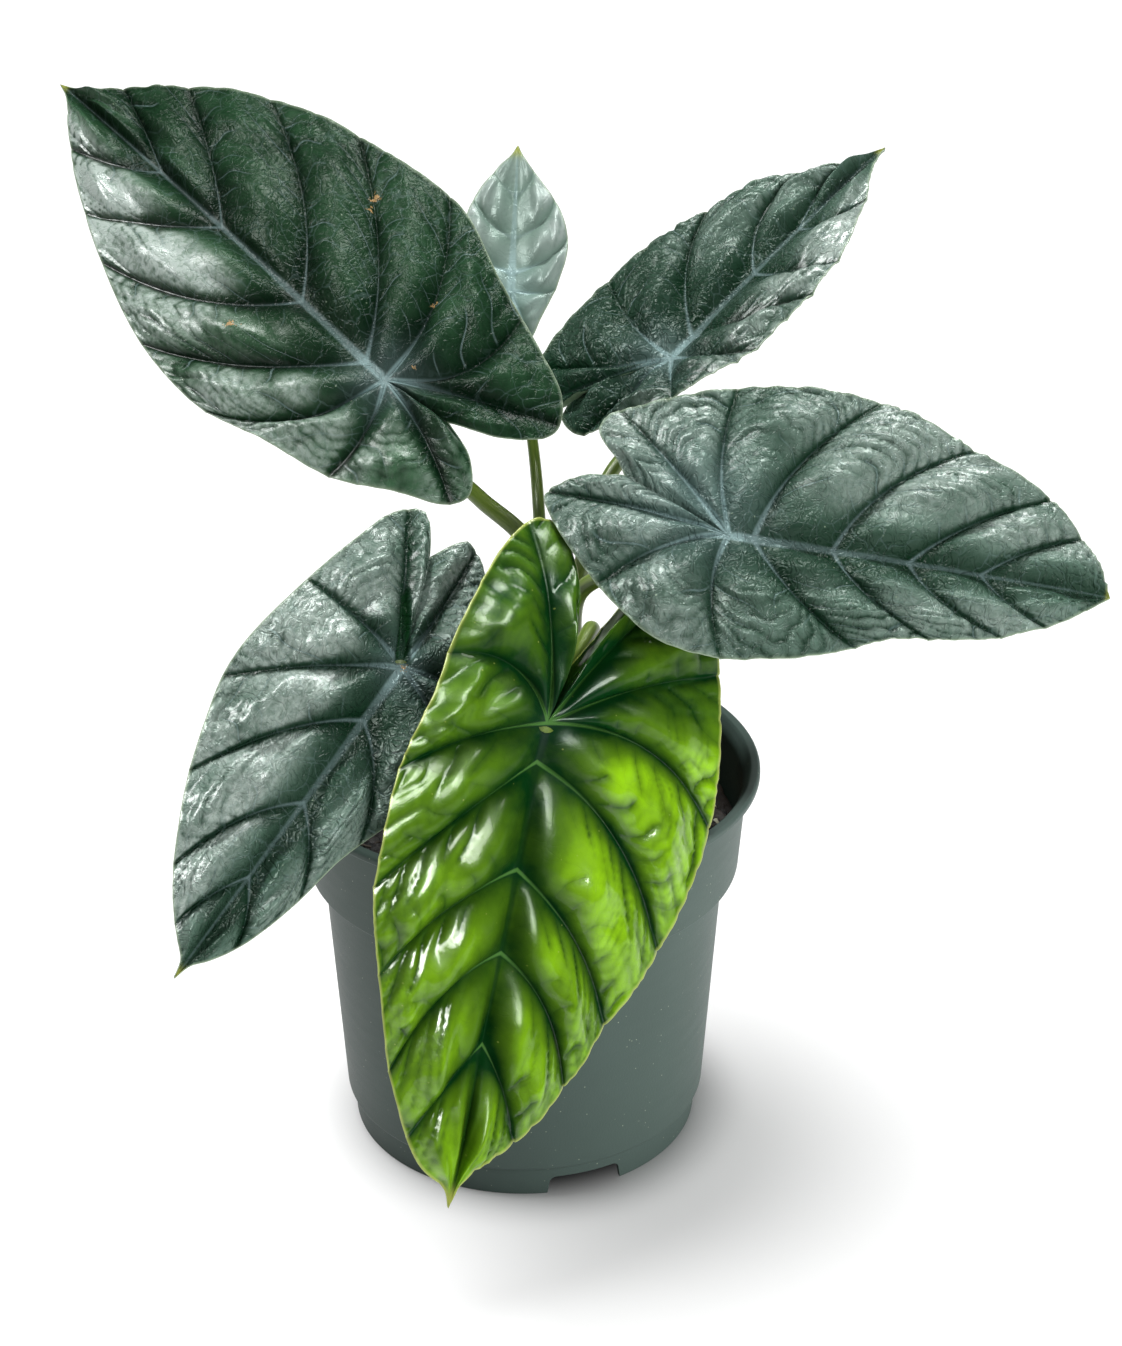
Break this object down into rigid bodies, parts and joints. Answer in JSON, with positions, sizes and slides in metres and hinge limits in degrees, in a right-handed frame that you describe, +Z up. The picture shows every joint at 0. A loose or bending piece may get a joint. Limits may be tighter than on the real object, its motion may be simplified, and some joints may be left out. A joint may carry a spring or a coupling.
{
  "type": "potted alocasia plant",
  "caption": "Compact potted alocasia: broad quilted arrowhead leaves on green stalks, one bright yellow-green, in a dark green nursery pot of potting mix.",
  "frame": {"origin": "middle of the plant's bounding box, on the surface that the pot stands on", "axes": "+Z up, +X to the right and +Y away from the viewer as in the picture"},
  "size_m": [0.3562, 0.2746, 0.3407],
  "materials": {
    "pot_plastic": "moulded satin plastic",
    "potting_mix": "moist bark and peat with white perlite",
    "petiole": "smooth olive green",
    "leaf_dark": "waxy dark green with a silver sheen",
    "leaf_silver": "waxy silvery green",
    "leaf_bright": "glossy yellow-green"
  },
  "bodies": {
    "root": {"pot": "pot_plastic", "soil": "potting_mix", "petiole_upper_left": "petiole", "leaf_upper_left": "leaf_dark", "petiole_back_small": "petiole", "leaf_back_small": "leaf_silver", "petiole_upper_right": "petiole", "leaf_upper_right": "leaf_silver", "petiole_right": "petiole", "leaf_right": "leaf_silver", "petiole_lower_left": "petiole", "leaf_lower_left": "leaf_silver", "petiole_front": "petiole", "leaf_front": "leaf_bright"}
  },
  "joints": []
}
